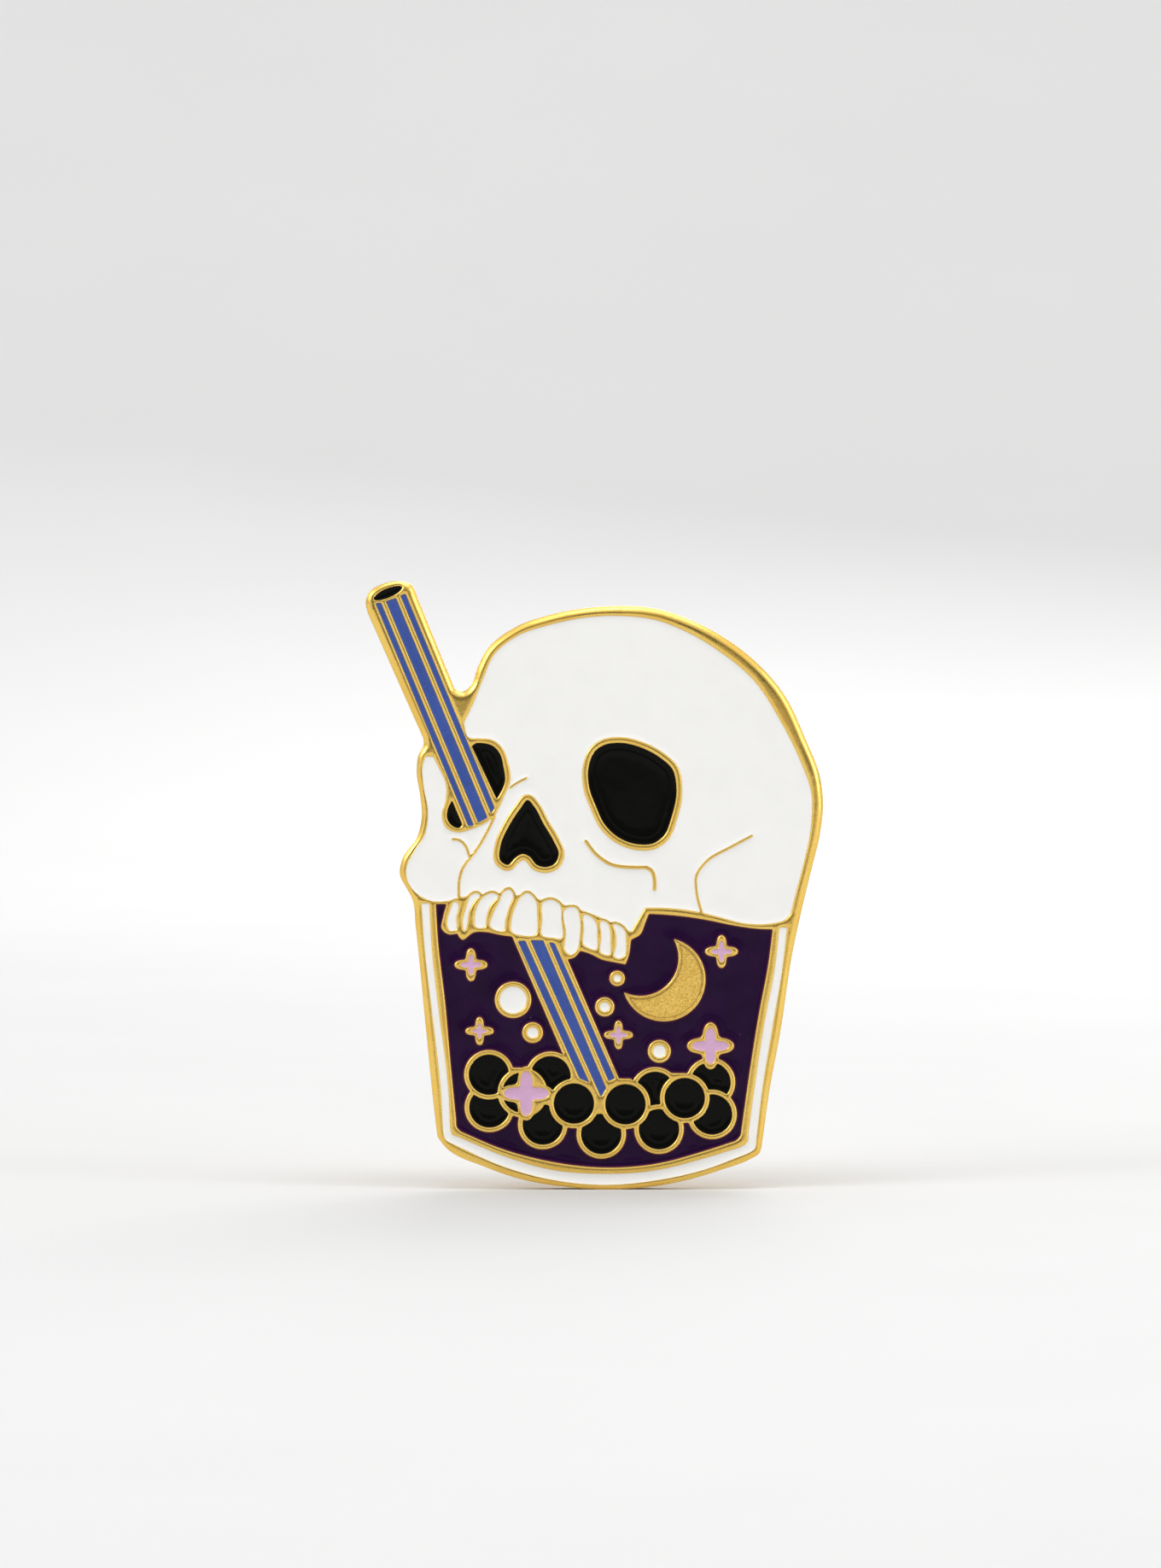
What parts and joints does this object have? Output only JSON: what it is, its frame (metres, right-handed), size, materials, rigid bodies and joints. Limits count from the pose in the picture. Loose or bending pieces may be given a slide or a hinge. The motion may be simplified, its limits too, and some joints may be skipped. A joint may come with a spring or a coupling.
{
  "type": "enamel pin",
  "caption": "Soft-enamel lapel pin: gold-plated metal with recessed enamel, a skull in a cup of bubble tea, held through cloth by two posts with butterfly clutches.",
  "frame": {"origin": "on the back face of the metal, midway between the two posts", "axes": "+Z is the top of the artwork, the face looks towards -Y, the posts stand along +Y, +X is right as seen from the front"},
  "size_m": [0.0293, 0.0098, 0.039],
  "materials": {
    "gold_plate": "polished gold plate over die-struck metal",
    "post_metal": "drawn wire, plated, slightly matte",
    "clutch_brass": "stamped and tumbled sheet brass",
    "white_enamel": "glossy recessed soft enamel",
    "black_enamel": "glossy recessed soft enamel",
    "blue_enamel": "glossy recessed soft enamel",
    "plum_enamel": "glossy recessed soft enamel",
    "lilac_enamel": "glossy recessed soft enamel"
  },
  "bodies": {
    "pin": {"metal_base": "gold_plate", "enamel_cranium": "white_enamel", "enamel_cheek": "white_enamel", "enamel_eye_right": "black_enamel", "enamel_eye_left_upper": "black_enamel", "enamel_eye_left_lower": "black_enamel", "enamel_nose": "black_enamel", "enamel_straw_mouth": "black_enamel", "enamel_cup_wall": "white_enamel", "enamel_drink": "plum_enamel", "enamel_stripe_1": "blue_enamel", "enamel_stripe_2": "blue_enamel", "enamel_stripe_3": "blue_enamel", "enamel_stripe_4": "blue_enamel", "enamel_stripe_5": "blue_enamel", "enamel_stripe_6": "blue_enamel", "enamel_tooth_1": "white_enamel", "enamel_tooth_2": "white_enamel", "enamel_tooth_3": "white_enamel", "enamel_tooth_4": "white_enamel", "enamel_tooth_5": "white_enamel", "enamel_tooth_6": "white_enamel", "enamel_tooth_7": "white_enamel", "enamel_tooth_8": "white_enamel", "enamel_tooth_9": "white_enamel", "enamel_tooth_10": "white_enamel", "enamel_pearl_1": "black_enamel", "enamel_pearl_2": "black_enamel", "enamel_pearl_3": "black_enamel", "enamel_pearl_4": "black_enamel", "enamel_pearl_5": "black_enamel", "enamel_pearl_6": "black_enamel", "enamel_pearl_7": "black_enamel", "enamel_pearl_8": "black_enamel", "enamel_pearl_9": "black_enamel", "enamel_pearl_10": "black_enamel", "enamel_pearl_11": "black_enamel", "enamel_pearl_12": "black_enamel", "enamel_pearl_13": "black_enamel", "enamel_star_1": "lilac_enamel", "enamel_star_2": "lilac_enamel", "enamel_star_3": "lilac_enamel", "enamel_star_4": "lilac_enamel", "enamel_star_5": "lilac_enamel", "enamel_star_6": "lilac_enamel", "enamel_bubble_1": "white_enamel", "enamel_bubble_2": "white_enamel", "enamel_bubble_3": "white_enamel", "enamel_bubble_4": "white_enamel", "enamel_bubble_5": "white_enamel", "post_upper": "post_metal", "post_lower": "post_metal"},
    "clutch_upper": {"clutch_cap_upper": "clutch_brass", "clutch_housing_upper": "clutch_brass"},
    "wing_upper_right": {"wing_upper_right": "clutch_brass"},
    "wing_upper_left": {"wing_upper_left": "clutch_brass"},
    "clutch_lower": {"clutch_cap_lower": "clutch_brass", "clutch_housing_lower": "clutch_brass"},
    "wing_lower_right": {"wing_lower_right": "clutch_brass"},
    "wing_lower_left": {"wing_lower_left": "clutch_brass"}
  },
  "joints": [
    {"name": "clutch_upper_slide", "type": "slide", "parent": "pin", "child": "clutch_upper", "axis": [0, 1, 0], "range_m": [-0.0018, 0.012]},
    {"name": "wing_upper_right_squeeze", "type": "hinge", "parent": "clutch_upper", "child": "wing_upper_right", "pos_m": [0.003, 0.00465, 0.009], "axis": [0, 0, 1], "range_deg": [0, 10], "stiffness_Nm_per_rad": 0.013},
    {"name": "wing_upper_left_squeeze", "type": "hinge", "parent": "clutch_upper", "child": "wing_upper_left", "pos_m": [-0.003, 0.00465, 0.009], "axis": [0, 0, 1], "range_deg": [-10, 0], "stiffness_Nm_per_rad": 0.013},
    {"name": "clutch_lower_slide", "type": "slide", "parent": "pin", "child": "clutch_lower", "axis": [0, 1, 0], "range_m": [-0.0018, 0.012]},
    {"name": "wing_lower_right_squeeze", "type": "hinge", "parent": "clutch_lower", "child": "wing_lower_right", "pos_m": [0.003, 0.00465, -0.009], "axis": [0, 0, 1], "range_deg": [0, 10], "stiffness_Nm_per_rad": 0.013},
    {"name": "wing_lower_left_squeeze", "type": "hinge", "parent": "clutch_lower", "child": "wing_lower_left", "pos_m": [-0.003, 0.00465, -0.009], "axis": [0, 0, 1], "range_deg": [-10, 0], "stiffness_Nm_per_rad": 0.013}
  ],
  "couplings": [
    {"joint": "wing_upper_left_squeeze", "follows": "wing_upper_right_squeeze", "ratio": -1},
    {"joint": "wing_lower_left_squeeze", "follows": "wing_lower_right_squeeze", "ratio": -1}
  ]
}
